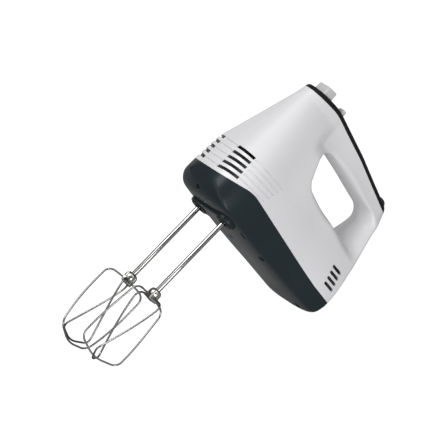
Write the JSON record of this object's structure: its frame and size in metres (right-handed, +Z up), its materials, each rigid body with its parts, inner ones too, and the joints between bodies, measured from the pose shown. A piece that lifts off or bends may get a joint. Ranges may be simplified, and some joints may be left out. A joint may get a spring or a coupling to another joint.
{
  "type": "hand mixer",
  "caption": "Hand mixer with a closed loop handle, a vented nose, thumb controls and wire beaters that a worm-driven motor turns.",
  "frame": {"origin": "middle of the flat heel that the mixer stands on", "axes": "+Z up from the heel to the nose, +X from the beaters to the handle, +Y to the right-hand beater"},
  "size_m": [0.3351, 0.0888, 0.1785],
  "materials": {
    "shell_plastic": "injection moulded, satin gloss",
    "base_plastic": "injection moulded, fine satin",
    "strip_plastic": "injection moulded, satin",
    "button_plastic": "injection moulded, satin gloss",
    "gland_rubber": "moulded, matt",
    "screw_steel": "zinc plated",
    "spring_steel": "ground",
    "beater_chrome": "chrome plated wire, polished",
    "nylon": "natural acetal",
    "board": "coated laminate",
    "capacitor_film": "dipped",
    "lamination": "stacked steel sheet, varnished",
    "copper": "enamelled winding wire",
    "bronze": "sintered",
    "gearbox_alloy": "die cast",
    "brass_plate": "stamped",
    "carbon": "pressed graphite"
  },
  "bodies": {
    "housing": {"upper_housing": "shell_plastic", "base_housing": "base_plastic", "handle_cover": "strip_plastic", "cord_gland": "gland_rubber", "socket_collars": "strip_plastic", "housing_screws": "screw_steel", "eject_spring": "spring_steel", "speed_switch": "strip_plastic", "turbo_switch": "strip_plastic", "control_board": "board", "capacitor": "capacitor_film", "motor_stator": "lamination", "field_coils": "copper", "front_bearing": "bronze", "rear_bearing": "bronze", "gearbox_frame": "gearbox_alloy", "gear_cover": "gearbox_alloy", "rear_bracket": "gearbox_alloy", "brush_holders": "brass_plate", "carbon_brushes": "carbon", "brush_springs": "spring_steel", "spindle_bushes": "bronze"},
    "left_spindle_body": {"left_drive_gear": "nylon", "left_spindle": "spring_steel"},
    "right_spindle_body": {"right_drive_gear": "nylon", "right_spindle": "spring_steel"},
    "left_beater": {"left_beater_shaft": "beater_chrome", "left_beater_hub": "beater_chrome", "left_outer_wire": "beater_chrome", "left_inner_wire": "beater_chrome"},
    "right_beater": {"right_beater_shaft": "beater_chrome", "right_beater_hub": "beater_chrome", "right_outer_wire": "beater_chrome", "right_inner_wire": "beater_chrome"},
    "armature": {"armature_core": "lamination", "armature_winding": "copper", "commutator": "copper", "motor_shaft": "spring_steel", "worm": "nylon", "cooling_fan": "nylon"},
    "eject": {"eject_button": "button_plastic", "eject_rod": "nylon"},
    "slider": {"speed_slider": "button_plastic"},
    "turbo": {"turbo_button": "button_plastic"}
  },
  "joints": [
    {"name": "left_spindle_spin", "type": "hinge", "parent": "housing", "child": "left_spindle_body", "pos_m": [-0.027, -0.0225, 0.135], "axis": [1, 0, 0], "continuous": true},
    {"name": "right_spindle_spin", "type": "hinge", "parent": "housing", "child": "right_spindle_body", "pos_m": [-0.027, 0.0225, 0.135], "axis": [1, 0, 0], "continuous": true},
    {"name": "motor_spin", "type": "hinge", "parent": "housing", "child": "armature", "pos_m": [-0.027, 0, 0.135], "axis": [0, 0, 1], "continuous": true},
    {"name": "eject_press", "type": "slide", "parent": "housing", "child": "eject", "axis": [-1, 0, 0], "range_m": [0, 0.008], "stiffness_N_per_m": 900, "springref_m": -0.004, "deforming": ["eject_spring"]},
    {"name": "left_beater_slide", "type": "slide", "parent": "left_spindle_body", "child": "left_beater", "axis": [-1, 0, 0], "range_m": [0, 0.008]},
    {"name": "right_beater_slide", "type": "slide", "parent": "right_spindle_body", "child": "right_beater", "axis": [-1, 0, 0], "range_m": [0, 0.008]},
    {"name": "speed_slide", "type": "slide", "parent": "housing", "child": "slider", "axis": [-0.1843, 0, -0.9829], "range_m": [0, 0.01]},
    {"name": "turbo_press", "type": "slide", "parent": "housing", "child": "turbo", "axis": [-1, 0, 0], "range_m": [0, 0.0015], "stiffness_N_per_m": 500, "springref_m": -0.0015}
  ],
  "couplings": [
    {"joint": "right_spindle_spin", "follows": "left_spindle_spin", "ratio": -1},
    {"joint": "motor_spin", "follows": "left_spindle_spin", "ratio": -30},
    {"joint": "left_beater_slide", "follows": "eject_press", "ratio": 1},
    {"joint": "right_beater_slide", "follows": "eject_press", "ratio": 1}
  ]
}
